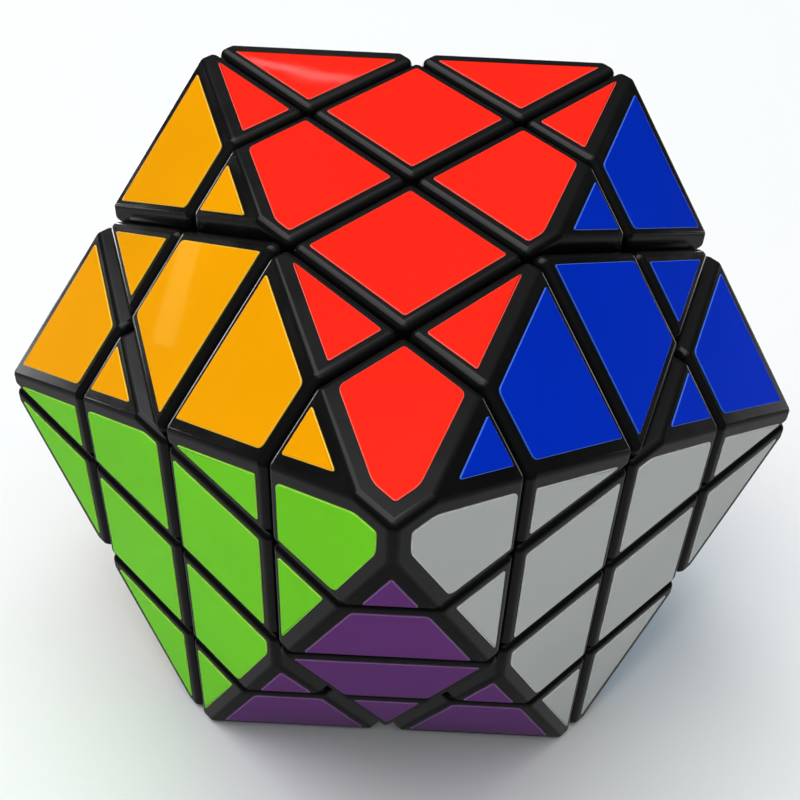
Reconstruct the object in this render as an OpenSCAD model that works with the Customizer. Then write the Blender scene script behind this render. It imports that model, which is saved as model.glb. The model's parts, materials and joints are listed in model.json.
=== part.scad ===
// Four-layer twisty puzzle with a twelve-faced body, a hexagonal double pyramid cut square to three axes.
// The grid axes x, y and z are those of the four layers. The whole puzzle is turned about Z at the end,
// so that the front tip points to -Y. The origin is the centre of the core.

/* [Body] */
// Thickness of one inner layer
layer = 16; // [12:0.5:24]
// Distance of the six square faces from the centre, in layers
square_face = 2; // [2:0.01:2.05]
// Value of x - y/2 + z on a slanted face, in layers
slant_face = 3.12; // [3.04:0.01:3.2]

/* [Fit] */
// Gap between two neighbouring blocks
seam = 0.3; // [0.2:0.05:0.5]
// Gap between two neighbouring feet
foot_seam = 0.12; // [0.1:0.02:0.3]
// Gap between two curved faces that slide on each other
slide = 0.4; // [0.3:0.05:0.6]

/* [Feet] */
// Radius of the round seat under the outer pieces, in layers
seat = 1.9; // [1.85:0.01:1.92]
// Distance from the centre plane to the cut between two feet, in layers
foot_cut = 0.72; // [0.68:0.01:0.76]

/* [Core] */
// Radius of the core ball, in layers
ball = 1.4; // [1.38:0.01:1.42]
// Radius under the lips of the core's caps, in layers
lip = 1.28; // [1.26:0.01:1.3]
// Radius of the hub, in layers
hub = 1.06; // [1.04:0.01:1.08]
// Width of one stem where it passes between the lips
stem_w = 4; // [3.5:0.1:4.2]
// Width of the foot at the end of a stem
stem_foot_w = 7.2; // [6.8:0.1:7.4]

/* [Screws] */
// Shank radius of a cap screw
shank_r = 0.95; // [0.8:0.05:1.1]
// Head radius of a cap screw
head_r = 1.9; // [1.7:0.1:2]
// Height of the screw head
head_h = 1.3; // [1:0.1:1.5]
// Depth of the cross slot in the head
slot_depth = 0.6; // [0.4:0.1:0.8]
// Width of the cross slot in the head
slot_w = 0.5; // [0.4:0.05:0.7]

/* [Hidden] */
LAYERS = ["bottom", "lower", "upper", "top"];
// Clock hours round a layer, seen from above with 6 at the front tip
RING = [for (hour = [1:12]) hour];
INNER = [for (hour = [3:3:12]) hour];
// Each piece is its name and its place in the 4x4x4 grid, from 0 to 3 along x, y and z
PIECES = [
    for (k = [0:3])
        for (p = concat(ring_pieces(k), k == 0 || k == 3 ? inner_pieces(k) : []))
            p
];

seat_r = seat * layer;
foot_r = seat_r - slide;
foot_plane = foot_cut * layer;
ball_r = ball * layer;
feet_inner_r = ball_r + slide;
lip_r = lip * layer;
hub_r = hub * layer;
stem_foot_top_r = lip_r - slide;
stem_foot_bottom_r = hub_r + slide;
// Depth by which a neck or stem runs into what it joins
neck_bite = 1;
// Room beyond the body for shapes that are cut down to it
far = 4 * layer;
// Plain pilot hole in the hub for each screw
pilot_r = shank_r + 0.05;
pilot_bottom_r = hub_r - 0.45 * layer;
shank_end_r = pilot_bottom_r + 0.6;
// Level of the face that a screw head sits on, measured from the centre
head_seat_r = ball_r - head_h - 0.4;
$fn = 96;

function last_of(c) = c == 0 || c == 3;
function outer_count(at) = len([for (c = at) if (last_of(c)) c]);
function kind(at) = ["core", "centre", "edge", "corner"][outer_count(at)];
function ring_cell(hour) =
    hour <= 3 ? [0, hour] :
    hour <= 6 ? [hour - 3, 3] :
    hour <= 9 ? [3, 9 - hour] :
    [12 - hour, 0];
function inner_cell(hour) = [for (c = ring_cell(hour)) c == 0 ? 1 : 2];
function piece(k, cell, hour) =
    let (at = [cell[0], cell[1], k])
        [str(LAYERS[k], "_", kind(at), "_", hour), at];
function ring_pieces(k) = [for (hour = RING) piece(k, ring_cell(hour), hour)];
function inner_pieces(k) = [for (hour = INNER) piece(k, inner_cell(hour), hour)];

// Lowest and highest value of grid place c along one axis, for cuts at -cut, 0 and cut
function low(c, cut, gap) = [-far, -cut, 0, cut][c] + (c == 0 ? 0 : gap / 2);
function high(c, cut, gap) = [-cut, 0, cut, far][c] - (c == 3 ? 0 : gap / 2);
function side(c) = c < 2 ? -1 : 1;

module to_row_frame() {
    rotate([0, 0, -135]) children();
}

// Everything between two parallel planes at the same distance from the centre
module slab(normal, distance) {
    up = [0, 0, 1];
    rotate(acos(normal * up / norm(normal)), cross(up, normal))
        cube([2 * far, 2 * far, 2 * distance], center = true);
}

// Twelve faces: six square to the grid axes and six slanted ones, in opposite pairs
module body() {
    slant_distance = slant_face * layer / norm([2, -1, 2]) * 2;
    intersection() {
        cube(2 * square_face * layer, center = true);
        slab([2, -1, 2], slant_distance);
        slab([-1, 2, 2], slant_distance);
        slab([2, 2, -1], slant_distance);
    }
}

// Box of one place in the grid, for cuts at -cut, 0 and cut
module cell(at, cut, gap) {
    from = [for (c = at) low(c, cut, gap)];
    to = [for (c = at) high(c, cut, gap)];
    translate(from) cube(to - from);
}

// Visible block outside the round seat
module block(at) {
    difference() {
        intersection() {
            body();
            cell(at, layer, seam);
        }
        sphere(seat_r);
    }
}

// Foot that hooks under the neighbouring blocks
module foot(at) {
    intersection() {
        cell(at, foot_plane, foot_seam);
        sphere(foot_r);
    }
}

// Joins the foot to the block, where both are present
module neck(at) {
    intersection() {
        cell(at, layer, seam);
        cell(at, foot_plane, foot_seam);
        sphere(seat_r + neck_bite);
    }
}

module block_with_foot(at) {
    difference() {
        union() {
            block(at);
            foot(at);
            neck(at);
        }
        sphere(feet_inner_r);
    }
}

// Square bar from the centre outwards, in the corner of the grid that a centre piece belongs to
module stem_bar(at, width) {
    sides = [for (c = at) last_of(c) ? far : width];
    gaps = [for (c = at) last_of(c) ? 0 : foot_seam / 2];
    outward = [for (c = at) side(c)];
    middle = [for (n = [0:2]) outward[n] * (sides[n] + gaps[n]) / 2];
    translate(middle) cube(sides - gaps, center = true);
}

// Stem through the groove's mouth, and the foot that runs in the groove
module stem(at) {
    intersection() {
        stem_bar(at, stem_w);
        difference() {
            sphere(feet_inner_r + neck_bite);
            sphere(stem_foot_top_r - neck_bite);
        }
    }
    intersection() {
        stem_bar(at, stem_foot_w);
        difference() {
            sphere(stem_foot_top_r);
            sphere(stem_foot_bottom_r);
        }
    }
}

module outer_piece(at) {
    color([0.06, 0.06, 0.065])
        to_row_frame() {
            block_with_foot(at);
            if (kind(at) == "centre") stem(at);
        }
}

// Moves to each of the eight corners of the grid, with z along the corner's diagonal
module at_each_corner() {
    for (x = [-1, 1])
        for (y = [-1, 1])
            for (z = [-1, 1])
                rotate([0, acos(z / sqrt(3)), atan2(y, x)]) children();
}

module along_each_axis() {
    children();
    rotate([90, 0, 0]) children();
    rotate([0, 90, 0]) children();
}

module core_hub() {
    color([0.5, 0.5, 0.52])
        to_row_frame()
            difference() {
                sphere(hub_r);
                at_each_corner()
                    translate([0, 0, pilot_bottom_r]) cylinder(r = pilot_r, h = layer);
            }
}

// Grooves under the lips, as wide as a foot, and the round pockets where a group of four feet turns
module undercut() {
    w = stem_foot_w + slide;
    intersection() {
        sphere(lip_r);
        union() {
            along_each_axis() cube([2 * far, 2 * far, 2 * w], center = true);
            along_each_axis() cylinder(r = sqrt(2) * stem_foot_w + slide, h = 2 * far, center = true);
        }
    }
}

module core_cap(x, y, z) {
    mouth = stem_w + slide;
    difference() {
        intersection() {
            sphere(ball_r);
            translate([x, y, z] * (mouth + far / 2)) cube(far, center = true);
        }
        sphere(hub_r);
        undercut();
        along_each_axis() cylinder(r = sqrt(2) * stem_w + slide, h = 2 * far, center = true);
        rotate([0, acos(z / sqrt(3)), atan2(y, x)]) {
            cylinder(r = shank_r + 0.15, h = far);
            translate([0, 0, head_seat_r]) cylinder(r = head_r + 0.2, h = far);
        }
    }
}

module core_caps() {
    color([0.12, 0.12, 0.13])
        to_row_frame()
            for (x = [-1, 1])
                for (y = [-1, 1])
                    for (z = [-1, 1])
                        core_cap(x, y, z);
}

module core_screws() {
    color([0.75, 0.76, 0.78])
        to_row_frame()
            at_each_corner()
                difference() {
                    union() {
                        translate([0, 0, shank_end_r]) cylinder(r = shank_r, h = head_seat_r - shank_end_r);
                        translate([0, 0, head_seat_r]) cylinder(r = head_r, h = head_h);
                    }
                    for (turn = [0, 90])
                        rotate([0, 0, turn])
                            translate([0, 0, head_seat_r + head_h])
                                cube([1.3 * head_r, slot_w, 2 * slot_depth], center = true);
                }
}

for (p = PIECES)
    outer_piece(p[1]);
core_hub();
core_caps();
core_screws();
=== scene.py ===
import itertools
import json
import math
import random

import bmesh
import bpy
import numpy as np
from mathutils import Matrix, Vector
from mathutils.geometry import convex_hull_2d


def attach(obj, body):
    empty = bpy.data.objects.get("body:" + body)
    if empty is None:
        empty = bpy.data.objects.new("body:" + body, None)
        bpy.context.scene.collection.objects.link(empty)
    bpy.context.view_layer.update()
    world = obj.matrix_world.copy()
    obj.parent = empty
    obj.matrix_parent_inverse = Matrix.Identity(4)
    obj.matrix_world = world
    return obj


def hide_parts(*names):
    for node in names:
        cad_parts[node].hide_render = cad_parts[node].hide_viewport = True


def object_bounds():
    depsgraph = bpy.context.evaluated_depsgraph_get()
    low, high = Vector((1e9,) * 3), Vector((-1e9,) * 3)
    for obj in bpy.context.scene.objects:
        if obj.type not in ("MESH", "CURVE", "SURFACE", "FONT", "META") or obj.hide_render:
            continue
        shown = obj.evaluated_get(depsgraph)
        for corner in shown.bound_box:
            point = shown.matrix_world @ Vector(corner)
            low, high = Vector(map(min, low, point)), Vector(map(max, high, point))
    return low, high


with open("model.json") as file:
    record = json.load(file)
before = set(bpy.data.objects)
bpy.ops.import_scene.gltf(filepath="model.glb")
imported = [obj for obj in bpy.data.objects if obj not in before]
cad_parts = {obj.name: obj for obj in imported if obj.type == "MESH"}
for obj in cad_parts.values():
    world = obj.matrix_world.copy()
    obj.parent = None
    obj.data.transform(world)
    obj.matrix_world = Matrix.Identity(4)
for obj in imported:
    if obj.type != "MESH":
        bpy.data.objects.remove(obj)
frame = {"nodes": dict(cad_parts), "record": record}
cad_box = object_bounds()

MM = 0.001
# A point this near to a plane lies on it
ON_PLANE = 0.01 * MM
# Two normals with a larger cosine between them belong to one plane
SAME_PLANE = 0.999
# Edges where the surface turns by more than this are drawn sharp
SHARP_ANGLE = math.radians(40)

# The grid axes lie turned about Z, so that the front tip points to -Y.
GRID_TURN = Matrix.Rotation(math.radians(-135), 3, "Z")
# Each sticker colour with its face's normal along the grid axes. Six faces are square to them, six slanted.
FACES = {
    "red": (0, 0, 1),
    "green": (1, 0, 0),
    "grey": (0, 1, 0),
    "orange": (2, -1, 2),
    "blue": (-1, 2, 2),
    "purple": (2, 2, -1),
    "yellow": (0, 0, -1),
    "pink": (-1, 0, 0),
    "white": (0, -1, 0),
    "light_blue": (-2, 1, -2),
    "beige": (1, -2, -2),
    "dark_green": (-2, -2, 1),
}
# Linear colours of the sticker films
FILM = {
    "red": (0.95, 0.018, 0.007),
    "green": (0.20, 0.82, 0.005),
    "grey": (0.57, 0.595, 0.585),
    "orange": (0.92, 0.375, 0.001),
    "blue": (0.0005, 0.030, 0.58),
    "purple": (0.155, 0.038, 0.22),
    "yellow": (0.90, 0.70, 0.02),
    "pink": (0.85, 0.16, 0.32),
    "white": (0.82, 0.82, 0.80),
    "light_blue": (0.12, 0.45, 0.78),
    "beige": (0.74, 0.58, 0.36),
    "dark_green": (0.004, 0.14, 0.05),
}

# Radius of the moulded edges, and the number of flats from one face round to the next
EDGE_RADIUS = 0.9 * MM
EDGE_STEPS = 4
# Between the outer pieces' feet and the round seat above them there is only the neck of each piece
FOOT_TOP = 30.0 * MM
SEAT = 30.4 * MM
# How far the rounding tool stands off the faces that it leaves alone
CLEARANCE = 0.001 * MM
CORE_ROUNDING = 0.25 * MM
SCREW_ROUNDING = 0.1 * MM

# A sticker keeps clear of the rounded edge, which reaches further in where the edge is acute, and of a flat
# strip beside it: a narrow one along the cuts and a wider one along the body's own edges
ROUNDED_REACH = 1.0 * MM
CUT_STRIP = 0.25 * MM
BODY_STRIP = 0.95 * MM
STICKER_THICKNESS = 0.15 * MM
# Corner radius of a sticker where its sides meet at twice the first angle or less, and at twice the second
SHARP_CORNER, SHARP_HALF = 0.2 * MM, math.radians(30)
BLUNT_CORNER, BLUNT_HALF = 3.2 * MM, math.radians(70)
# Flats on a rounded corner, and the most of a side that it may take
CORNER_STEPS = 6
CORNER_SHARE = 0.42
# A side shorter than this, or a corner that turns by a smaller sine, is dropped from an outline
SHORT_SIDE = 0.02 * MM
SLIGHT_TURN = 0.02
# No sticker where the area would be less than that of a square with this side
SMALLEST_STICKER = 2.2 * MM
# Inset and height of the film's outline at its foot, at the top of its cut side, and over its rim
STICKER_RINGS = (
    (0, 0),
    (0, 0.6 * STICKER_THICKNESS),
    (0.06 * MM, 0.9 * STICKER_THICKNESS),
    (0.12 * MM, STICKER_THICKNESS),
)
# How far a sticker may be laid from its place, and how far it may be turned
SLIP = 0.12 * MM
TWIST = math.radians(0.5)
SEED = 12

CORE_NODES = ("core_hub", "core_caps", "core_screws")
outer_nodes = [name for name in sorted(frame["nodes"]) if name not in CORE_NODES]
body_of = {name: body for body, names in frame["record"]["behaviour"]["bodies"].items() for name in names}


# ---- materials ----

def new_material(name, colour, roughness, reflection=0.5):
    material = bpy.data.materials.new(name)
    material.use_nodes = True
    shader = material.node_tree.nodes["Principled BSDF"]
    shader.inputs["Base Color"].default_value = (*colour, 1)
    shader.inputs["Roughness"].default_value = roughness
    shader.inputs["Specular IOR Level"].default_value = reflection
    return material


def link(material, source, output, target, socket):
    material.node_tree.links.new(source.outputs[output], target.inputs[socket])


def add_node(material, kind, **values):
    node = material.node_tree.nodes.new(kind)
    for socket, value in values.items():
        node.inputs[socket.replace("_", " ")].default_value = value
    return node


def noise(material, scale, detail=3.0, roughness=0.5):
    """Noise over the object, with scale in features per metre."""
    place = add_node(material, "ShaderNodeTexCoord")
    texture = add_node(material, "ShaderNodeTexNoise", Scale=scale, Detail=detail, Roughness=roughness)
    link(material, place, "Object", texture, "Vector")
    return texture


def spread(material, source, output, low, high, start=0.3, end=0.7):
    """The source's values between start and end, spread from low to high."""
    node = add_node(material, "ShaderNodeMapRange")
    node.inputs["From Min"].default_value = start
    node.inputs["From Max"].default_value = end
    node.inputs["To Min"].default_value = low
    node.inputs["To Max"].default_value = high
    link(material, source, output, node, "Value")
    return node


def vary_roughness(material, texture, low, high):
    shader = material.node_tree.nodes["Principled BSDF"]
    link(material, spread(material, texture, "Fac", low, high), "Result", shader, "Roughness")


def vary_colour(material, texture, dark, light):
    """Colour drifts between dark and light times the shader's own colour."""
    shader = material.node_tree.nodes["Principled BSDF"]
    colour = shader.inputs["Base Color"].default_value
    ramp = add_node(material, "ShaderNodeValToRGB")
    ramp.color_ramp.elements[0].position = 0.3
    ramp.color_ramp.elements[1].position = 0.7
    ramp.color_ramp.elements[0].color = [min(1, c * dark) for c in colour[:3]] + [1]
    ramp.color_ramp.elements[1].color = [min(1, c * light) for c in colour[:3]] + [1]
    link(material, texture, "Fac", ramp, "Fac")
    link(material, ramp, "Color", shader, "Base Color")


def bump(material, layers):
    """Stacks bumps: each layer is a texture, its height in metres and its strength."""
    shader = material.node_tree.nodes["Principled BSDF"]
    last = None
    for texture, height, strength in layers:
        node = add_node(material, "ShaderNodeBump", Strength=strength, Distance=height)
        link(material, texture, "Fac", node, "Height")
        if last:
            link(material, last, "Normal", node, "Normal")
        last = node
    link(material, last, "Normal", shader, "Normal")


def moulded_plastic(name, colour, roughness):
    """Satin injection moulding with fine texture, faint handling marks and slow changes of gloss."""
    material = new_material(name, colour, roughness, 0.2)
    marks = noise(material, 160, 5.0, 0.6)
    vary_roughness(material, marks, roughness - 0.04, roughness + 0.08)
    vary_colour(material, noise(material, 60), 0.85, 1.2)
    grain, swells = noise(material, 3500, 2.0), noise(material, 120)
    bump(material, [(grain, 0.004 * MM, 0.4), (swells, 0.05 * MM, 0.3)])
    return material


def sticker_film(name, colour):
    """Printed vinyl: nearly even colour, soft gloss, and the slow ripple of a hand-laid film."""
    material = new_material(name, colour, 0.03, 0.08)
    vary_roughness(material, noise(material, 220, 4.0), 0.02, 0.045)
    vary_colour(material, noise(material, 45, 2.0), 0.95, 1.05)
    grain, ripple = noise(material, 2600, 2.0), noise(material, 75, 1.0)
    bump(material, [(grain, 0.0003 * MM, 0.4), (ripple, 0.04 * MM, 0.8)])
    return material


def cut_edge(name, colour):
    """The paler core of the film, where a sticker is cut."""
    pale = [min(1, c ** 0.6 + 0.03) for c in colour]
    material = new_material(name, pale, 0.55)
    fibres = noise(material, 4000, 3.0)
    vary_colour(material, noise(material, 900), 0.9, 1.1)
    vary_roughness(material, fibres, 0.48, 0.65)
    bump(material, [(fibres, 0.01 * MM, 0.4)])
    return material


def screw_metal():
    material = new_material("screw_steel", (0.62, 0.62, 0.63), 0.3)
    material.node_tree.nodes["Principled BSDF"].inputs["Metallic"].default_value = 1
    turning_marks = noise(material, 1200, 4.0)
    vary_roughness(material, turning_marks, 0.22, 0.4)
    vary_colour(material, noise(material, 300), 0.9, 1.05)
    bump(material, [(turning_marks, 0.01 * MM, 0.3)])
    return material


black = moulded_plastic("black_plastic", (0.004, 0.0042, 0.0043), 0.17)
hub_plastic = moulded_plastic("core_plastic", (0.21, 0.21, 0.22), 0.45)
cap_plastic = moulded_plastic("cap_plastic", (0.013, 0.013, 0.015), 0.42)
steel = screw_metal()
films = {colour: sticker_film("film_" + colour, value) for colour, value in FILM.items()}
cut_edges = {colour: cut_edge("cut_edge_" + colour, value) for colour, value in FILM.items()}


# ---- the body's faces ----

def corner_points(name):
    return np.array([v.co for v in frame["nodes"][name].data.vertices])


points = {name: corner_points(name) for name in outer_nodes}
# Colour: outward normal and distance from the centre, both measured on the frame
face_planes = {}
for colour, along_grid in FACES.items():
    normal = np.array((GRID_TURN @ Vector(along_grid)).normalized())
    face_planes[colour] = (normal, max((points[name] @ normal).max() for name in outer_nodes))


# ---- moulded pieces ----

def block_planes(name):
    """Planes round a piece's visible block, the body's faces and the cuts, as normals and distances."""
    block = points[name][np.linalg.norm(points[name], axis=1) > (FOOT_TOP + SEAT) / 2]
    planes = list(face_planes.values())
    for axis in np.array(GRID_TURN).T:
        for normal in (axis, -axis):
            distance = (block @ normal).max()
            known = any(np.allclose(normal, n) and abs(distance - d) < CLEARANCE for n, d in planes)
            if not known:
                planes.append((normal, distance))
    return np.array([n for n, d in planes]), np.array([d for n, d in planes])


def solid_corners(normals, distances):
    """Corners of the solid inside all the planes, each with the normals of the planes that meet there."""
    triples = np.array(list(itertools.combinations(range(len(distances)), 3)))
    triples = triples[np.abs(np.linalg.det(normals[triples])) > 0.001]
    meets = np.linalg.solve(normals[triples], distances[triples][..., None])[..., 0]
    tiny = CLEARANCE / 100
    inside = meets[(meets @ normals.T < distances + tiny).all(axis=1)]
    corners = []
    for place in inside:
        if all(np.linalg.norm(place - other) > tiny for other, _ in corners):
            corners.append((place, normals[np.abs(normals @ place - distances) < tiny]))
    return corners


def ball_patch(normals):
    """Directions over the part of a ball between the given normals, with arcs from each to the next."""
    middle = normals.mean(axis=0)
    u = np.cross(middle, normals[0])
    v = np.cross(middle, u)
    u, v = u / np.linalg.norm(u), v / np.linalg.norm(v)
    ring = normals[np.argsort(np.arctan2(normals @ v, normals @ u))]
    for before, after in zip(ring, np.roll(ring, -1, axis=0)):
        for i in range(EDGE_STEPS + 1):
            for j in range(EDGE_STEPS + 1 - i):
                direction = middle * (EDGE_STEPS - i - j) + before * i + after * j
                yield direction / np.linalg.norm(direction)


def rounded_block(name):
    """The block as a rolling ball leaves it: a ball in every corner, and the skin drawn over them."""
    normals, distances = block_planes(name)
    skin = {}
    for centre, meeting in solid_corners(normals, distances - EDGE_RADIUS):
        for direction in ball_patch(meeting):
            place = centre + direction * (EDGE_RADIUS + CLEARANCE)
            skin[tuple(np.round(place / CLEARANCE, 1))] = place
    mesh = bmesh.new()
    hull = bmesh.ops.convex_hull(mesh, input=[mesh.verts.new(place) for place in skin.values()])
    left_over = hull["geom_interior"] + hull["geom_unused"]
    unused = {item for item in left_over if isinstance(item, bmesh.types.BMVert)}
    bmesh.ops.delete(mesh, geom=list(unused), context="VERTS")
    bmesh.ops.dissolve_limit(mesh, angle_limit=math.radians(0.1), verts=mesh.verts, edges=mesh.edges)
    return as_object("rounding_tool", mesh)


def as_object(name, mesh, *materials):
    """Turns a bmesh into an object in the scene."""
    data = bpy.data.meshes.new(name)
    mesh.to_mesh(data)
    mesh.free()
    for material in materials:
        data.materials.append(material)
    thing = bpy.data.objects.new(name, data)
    bpy.context.scene.collection.objects.link(thing)
    return thing


def cut_with(thing, operation, tool):
    cut = thing.modifiers.new("cut", "BOOLEAN")
    cut.operation = operation
    cut.solver = "EXACT"
    cut.object = tool


def without_triangles(thing):
    """Joins the split corners and the flat triangles of a CAD mesh."""
    weld = thing.modifiers.new("weld", "WELD")
    weld.merge_threshold = 2 * CLEARANCE
    flat = thing.modifiers.new("flat_faces", "DECIMATE")
    flat.decimate_type = "DISSOLVE"
    flat.angle_limit = math.radians(0.3)


def smooth_by_area(thing):
    smooth = thing.modifiers.new("smooth", "WEIGHTED_NORMAL")
    smooth.weight = 80
    smooth.keep_sharp = True


def moulded_piece(name, inner_ball):
    """The CAD piece with its block's edges rounded. Its foot, inside the seat, stays as it is."""
    tool = rounded_block(name)
    cut_with(tool, "UNION", inner_ball)
    work = bpy.data.objects.new("work", frame["nodes"][name].data.copy())
    bpy.context.scene.collection.objects.link(work)
    without_triangles(work)
    cut_with(work, "INTERSECT", tool)
    shape = work.evaluated_get(bpy.context.evaluated_depsgraph_get())
    data = bpy.data.meshes.new_from_object(shape)
    data.name = name + "_moulding"
    data.materials.clear()
    data.materials.append(black)
    data.shade_smooth()
    data.set_sharp_from_angle(angle=SHARP_ANGLE)
    piece = bpy.data.objects.new(name + "_moulding", data)
    bpy.context.scene.collection.objects.link(piece)
    smooth_by_area(piece)
    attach(piece, body_of[name])
    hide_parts(name)
    for used in (work, tool):
        spent = used.data
        bpy.data.objects.remove(used)
        bpy.data.meshes.remove(spent)


def make_pieces():
    mesh = bmesh.new()
    bmesh.ops.create_uvsphere(mesh, u_segments=48, v_segments=24, radius=(FOOT_TOP + SEAT) / 2)
    inner_ball = as_object("inner_ball", mesh)
    for name in outer_nodes:
        moulded_piece(name, inner_ball)
    bpy.data.objects.remove(inner_ball)


def finish_core(name, material, rounding):
    """Gives a CAD node of the core its material and slightly rounded edges."""
    part = frame["nodes"][name]
    for slot in part.material_slots:
        slot.link = "OBJECT"
        slot.material = material
    without_triangles(part)
    edge = part.modifiers.new("rounded_edges", "BEVEL")
    edge.width = rounding
    edge.segments = 2
    edge.limit_method = "ANGLE"
    edge.angle_limit = SHARP_ANGLE
    smooth_by_area(part)


make_pieces()
finish_core("core_hub", hub_plastic, CORE_ROUNDING)
finish_core("core_caps", cap_plastic, CORE_ROUNDING)
finish_core("core_screws", steel, SCREW_ROUNDING)


# ---- stickers ----

def plane_axes(normal):
    """Two directions in the plane, at right angles."""
    u = normal.cross(Vector((0.3, 0.5, -0.8))).normalized()
    return u, normal.cross(u)


def outline_on_face(name, normal, distance):
    """Corners of the piece's flat area on one face of the body, anticlockwise, in the plane's own axes."""
    u, v = plane_axes(normal)
    touching = points[name][np.abs(points[name] @ np.array(normal) - distance) < ON_PLANE]
    if len(touching) < 3:
        return []
    flat = [Vector((p @ np.array(u), p @ np.array(v))) for p in touching]
    outline = without_straight_corners([flat[i] for i in convex_hull_2d(flat)])
    return outline if area(outline) > 0 else outline[::-1]


def area(outline):
    return 0.5 * sum(outline[i - 1].cross(p) for i, p in enumerate(outline))


def without_straight_corners(outline):
    """Drops corners that lie on a straight side, and corners that nearly meet."""
    kept = []
    for i, here in enumerate(outline):
        before = kept[-1] if kept else outline[i - 1]
        back, ahead = here - before, outline[(i + 1) % len(outline)] - here
        if back.length > SHORT_SIDE and abs(back.normalized().cross(ahead.normalized())) > SLIGHT_TURN:
            kept.append(here)
    return kept


def cut_by_line(outline, start, direction, inset):
    """Keeps the part of a convex outline that lies more than inset to the left of a line."""
    left = Vector((-direction.y, direction.x))
    depth = [(p - start).dot(left) - inset for p in outline]
    kept = []
    for i, here in enumerate(outline):
        j = (i + 1) % len(outline)
        if depth[i] >= 0:
            kept.append(here)
        if depth[i] * depth[j] < 0:
            kept.append(here.lerp(outline[j], depth[i] / (depth[i] - depth[j])))
    return kept


def margin_along(start, end, normal, planes):
    """Margin of a sticker along one side of its face, from the angle to the plane that meets it there."""
    for other, distance in planes:
        beside = all(abs(np.dot(other, place) - distance) < ON_PLANE for place in (start, end))
        if beside and np.dot(other, normal) < SAME_PLANE:
            half = normal.angle(Vector(other)) / 2
            strip = CUT_STRIP if on_grid_cut(other, distance) else BODY_STRIP
            return strip + ROUNDED_REACH * math.tan(half)
    return BODY_STRIP


def on_grid_cut(normal, distance):
    """Whether a plane lies inside the body, where the layers part, and isn't one of its faces."""
    faces = face_planes.values()
    return not any(np.allclose(normal, n) and abs(distance - d) < ON_PLANE for n, d in faces)


def sticker_outline(name, normal, distance):
    """The piece's area on one face, drawn in by a margin that depends on the edge at each side."""
    face = outline_on_face(name, normal, distance)
    planes = list(zip(*block_planes(name)))
    u, v = plane_axes(normal)
    outline = list(face)
    for i, here in enumerate(face):
        after = face[(i + 1) % len(face)]
        ends = [u * p.x + v * p.y + normal * distance for p in (here, after)]
        margin = margin_along(*ends, normal, planes)
        outline = cut_by_line(outline, here, (after - here).normalized(), margin)
        if len(outline) < 3:
            return []
    return without_straight_corners(outline)


def round_corners(outline):
    """Replaces each corner by a curve, much wider where the corner is blunt."""
    result = []
    for i, here in enumerate(outline):
        back, ahead = outline[i - 1] - here, outline[(i + 1) % len(outline)] - here
        half = back.angle(ahead) / 2
        bluntness = min(1, max(0, (half - SHARP_HALF) / (BLUNT_HALF - SHARP_HALF)))
        radius = SHARP_CORNER + (BLUNT_CORNER - SHARP_CORNER) * bluntness ** 3
        reach = min(radius / math.tan(half), CORNER_SHARE * back.length, CORNER_SHARE * ahead.length)
        start = here + back.normalized() * reach
        end = here + ahead.normalized() * reach
        for step in range(CORNER_STEPS + 1):
            t = step / CORNER_STEPS
            result.append(start * (1 - t) ** 2 + here * 2 * t * (1 - t) + end * t * t)
    return result


def drawn_in(outline, inset):
    """The outline with every point moved inwards, square to its two sides."""
    result = []
    for i, here in enumerate(outline):
        back = (here - outline[i - 1]).normalized()
        ahead = (outline[(i + 1) % len(outline)] - here).normalized()
        along = back + ahead
        inwards = Vector((-along.y, along.x)).normalized()
        result.append(here + inwards * inset)
    return result


def sticker_mesh(outline, normal, distance):
    """A thin film on the face: its cut side, then a soft rim, then the flat top."""
    u, v = plane_axes(normal)
    mesh = bmesh.new()
    loops = []
    for inset, height in STICKER_RINGS:
        lift = normal * (distance + height)
        ring = drawn_in(outline, inset)
        loops.append([mesh.verts.new(u * p.x + v * p.y + lift) for p in ring])
    for level, (lower, upper) in enumerate(zip(loops, loops[1:])):
        for i in range(len(outline)):
            j = (i + 1) % len(outline)
            side = mesh.faces.new((lower[i], lower[j], upper[j], upper[i]))
            side.smooth = level > 0
            side.material_index = 0 if level > 1 else 1
    mesh.faces.new(loops[-1]).smooth = True
    mesh.faces.new(reversed(loops[0])).material_index = 1
    return mesh


def slipped(outline, chance):
    """Shifts and turns an outline a little, as a hand lays it."""
    middle = sum(outline, Vector((0, 0))) / len(outline)
    shift = Vector((chance.uniform(-SLIP, SLIP), chance.uniform(-SLIP, SLIP)))
    turn = Matrix.Rotation(chance.uniform(-TWIST, TWIST), 2)
    return [middle + shift + turn @ (p - middle) for p in outline]


def make_stickers():
    chance = random.Random(SEED)
    for colour, (normal, distance) in face_planes.items():
        normal = Vector(normal)
        for name in outer_nodes:
            outline = sticker_outline(name, normal, distance)
            if len(outline) < 3 or area(outline) < SMALLEST_STICKER ** 2:
                continue
            mesh = sticker_mesh(round_corners(slipped(outline, chance)), normal, distance)
            sticker = as_object(f"{colour}_sticker_{name}", mesh, films[colour], cut_edges[colour])
            sticker.modifiers.new("smooth", "WEIGHTED_NORMAL").keep_sharp = True
            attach(sticker, body_of[name])


make_stickers()


# ---- floor, lights and camera ----

PAPER = (0.83, 0.855, 0.86)
# Keeps the lowest stickers out of the plane of the floor
FLOOR_GAP = 0.02 * MM
# Flats round the backdrop and up its bend, its height over the floor, and the painted glow at its top:
# emission standing in for light on the wall
BACKDROP_STEPS = 96
BEND_STEPS = 15
BACKDROP_GAP = 0.5 * MM
BACKDROP_PAINTED_GLOW = 0.4
WINDOW_DISTANCE = 0.8
GLOW_HEIGHT = 0.5 * MM
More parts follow.
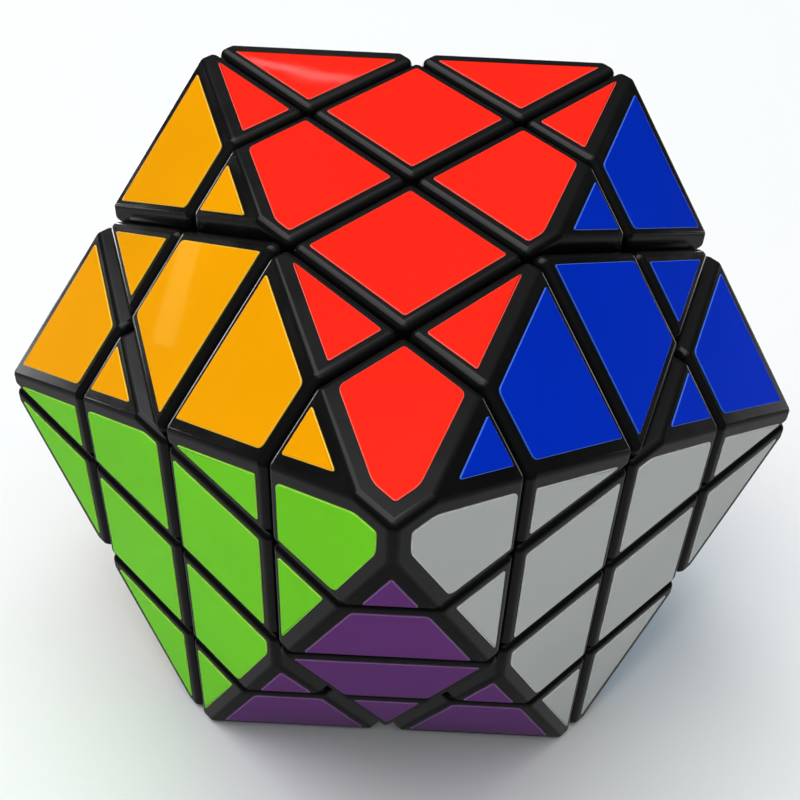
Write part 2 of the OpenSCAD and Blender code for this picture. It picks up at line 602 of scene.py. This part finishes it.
# Brightness of the room at the sines of some heights, from straight down to straight up
ROOM_LIGHT = (
    (-1.0, 0.06),
    (-0.93, 0.12),
    (-0.78, 0.34),
    (-0.45, 0.32),
    (-0.1, 0.12),
    (0.0, 0.05),
    (0.05, 0.02),
    (0.5, 0.12),
    (0.7, 0.35),
    (0.86, 1.2),
    (1.0, 1.3),
)
# Where the camera stands, seen from the middle of the object, and the point that it looks at
CAMERA_AZIMUTH, CAMERA_ELEVATION, CAMERA_ROLL = (math.radians(a) for a in (0.17, 45.3, 2.58))
CAMERA_DISTANCE = 0.1573
CAMERA_AIM = (-0.00014, 0.00029, 0.00029)


def paper(name):
    """Plain pale paper with a fine tooth."""
    material = new_material(name, PAPER, 0.75)
    grain = noise(material, 900, 4.0)
    vary_roughness(material, grain, 0.7, 0.8)
    vary_colour(material, noise(material, 3), 0.995, 1.005)
    bump(material, [(grain, 0.01 * MM, 0.2)])
    return material


def floor(level, size):
    """A flat sheet. Gloss shows the dimmer room in its place, so that the black plastic stays black."""
    mesh = bmesh.new()
    bmesh.ops.create_grid(mesh, x_segments=8, y_segments=8, size=size / 2)
    sheet = as_object("floor", mesh, paper("floor_paper"))
    sheet.location.z = level
    sheet.visible_glossy = False


def backdrop(level, radius, bend, height):
    """A round wall, curved into the floor, that neither lights the object nor shades it. Its brightness is
    painted light: it glows, more so towards the top.
    """
    rises = [math.radians(90 * i / BEND_STEPS) for i in range(BEND_STEPS + 1)]
    profile = [(radius - bend * (1 - math.sin(a)), bend * (1 - math.cos(a))) for a in rises]
    profile.append((radius, height))
    turns = [2 * math.pi * i / BACKDROP_STEPS for i in range(BACKDROP_STEPS)]
    mesh = bmesh.new()
    rings = []
    for out, up in profile:
        rings.append([mesh.verts.new((out * math.cos(t), out * math.sin(t), up)) for t in turns])
    for lower, upper in zip(rings, rings[1:]):
        for i in range(BACKDROP_STEPS):
            mesh.faces.new((lower[i], upper[i], upper[i - 1], lower[i - 1])).smooth = True
    material = paper("backdrop_paper_painted_glow")
    wall = as_object("backdrop", mesh, material)
    wall.location.z = level + BACKDROP_GAP
    # Painted light: emission that grows with height makes the wall look lit without a lamp on it
    shader = material.node_tree.nodes["Principled BSDF"]
    shader.inputs["Emission Color"].default_value = (0.97, 1.0, 1.0, 1)
    split = add_node(material, "ShaderNodeSeparateXYZ")
    link(material, add_node(material, "ShaderNodeTexCoord"), "Object", split, "Vector")
    glow = spread(material, split, "Z", 0, BACKDROP_PAINTED_GLOW, 0, height)
    link(material, glow, "Result", shader, "Emission Strength")
    wall.visible_glossy = False
    wall.visible_diffuse = False
    wall.visible_shadow = False


def look_at(thing, target, roll=0.0):
    direction = Vector(target) - thing.location
    turn = direction.to_track_quat("-Z", "Y").to_matrix() @ Matrix.Rotation(roll, 3, "Z")
    thing.rotation_euler = turn.to_euler()


def soft_light(name, place, size, power, colour=(1, 1, 1)):
    data = bpy.data.lights.new(name, "AREA")
    data.shape = "RECTANGLE"
    data.size = size[0]
    data.size_y = size[1]
    data.energy = power
    data.color = colour
    light = bpy.data.objects.new(name, data)
    bpy.context.scene.collection.objects.link(light)
    light.location = place
    light.visible_camera = False
    look_at(light, (0, 0, 0))
    return light


def only_reflected(light):
    """Leaves a light out of everything but the gloss of the object."""
    light.visible_diffuse = False


def far_window(name, azimuth, elevation, width, height, brightness, roll=0, colour=(1, 1, 1)):
    """A window that shows only in gloss, placed and sized by angles seen from the object."""
    around, up = math.radians(azimuth), math.radians(elevation)
    flat = math.cos(up) * WINDOW_DISTANCE
    place = (-flat * math.sin(around), flat * math.cos(around), math.sin(up) * WINDOW_DISTANCE)
    size = [WINDOW_DISTANCE * math.radians(angle) for angle in (width, height)]
    window = soft_light(name, place, size, brightness * math.pi * size[0] * size[1], colour)
    look_at(window, (0, 0, 0), math.radians(roll))
    only_reflected(window)


def floor_glow(name, x, y, size, brightness, level):
    """Glare of the paper beside the object, which lights up the edges that face it."""
    glow = soft_light(name, (x, y, level + GLOW_HEIGHT), (size, size), brightness * math.pi * size ** 2)
    glow.rotation_euler = (math.pi, 0, 0)
    only_reflected(glow)


def room():
    """Dark all round at the level of the table, and brighter towards the ceiling."""
    world = bpy.data.worlds.new("room")
    world.use_nodes = True
    nodes, links = world.node_tree.nodes, world.node_tree.links
    place = nodes.new("ShaderNodeTexCoord")
    split = nodes.new("ShaderNodeSeparateXYZ")
    height = nodes.new("ShaderNodeMapRange")
    height.inputs["From Min"].default_value = -1
    ramp = nodes.new("ShaderNodeValToRGB")
    links.new(place.outputs["Generated"], split.inputs["Vector"])
    links.new(split.outputs["Z"], height.inputs["Value"])
    links.new(height.outputs["Result"], ramp.inputs["Fac"])
    links.new(ramp.outputs["Color"], nodes["Background"].inputs["Color"])
    stops = ramp.color_ramp.elements
    for _ in range(len(ROOM_LIGHT) - len(stops)):
        stops.new(0.5)
    for stop, (sine, brightness) in zip(stops, ROOM_LIGHT):
        stop.position = (sine + 1) / 2
        stop.color = (brightness, brightness, brightness, 1)
    bpy.context.scene.world = world


def studio():
    lowest = cad_box[0][2]
    level = lowest - STICKER_THICKNESS - FLOOR_GAP
    floor(level, size=6.0)
    backdrop(level, radius=2.9, bend=1.6, height=3.0)
    soft_light("overhead", place=(-0.42, 0.3, 1.35), size=(1.6, 1.6), power=17.5)
    far_window("back_window", azimuth=6.5, elevation=32.9, width=6, height=0.2, brightness=7, roll=-8)
    far_window("side_window", azimuth=60.3, elevation=1.8, width=5.5, height=0.9, brightness=2, roll=-30,
               colour=(1, 1, 0.3))
    floor_glow("left_glow", x=-0.18, y=0.19, size=0.18, brightness=9, level=level)
    floor_glow("right_glow", x=0.18, y=0.19, size=0.18, brightness=3, level=level)
    room()


def camera():
    """Looks down at the front tip from its own side, a little rolled."""
    data = bpy.data.cameras.new("camera")
    data.lens = 60.6
    data.sensor_width = 36
    data.clip_start = 0.01
    view = bpy.data.objects.new("camera", data)
    bpy.context.scene.collection.objects.link(view)
    flat = math.cos(CAMERA_ELEVATION) * CAMERA_DISTANCE
    view.location = (
        flat * math.sin(CAMERA_AZIMUTH),
        -flat * math.cos(CAMERA_AZIMUTH),
        math.sin(CAMERA_ELEVATION) * CAMERA_DISTANCE,
    )
    look_at(view, CAMERA_AIM, CAMERA_ROLL)
    bpy.context.scene.camera = view


studio()
camera()
bpy.context.scene.view_settings.view_transform = "Standard"
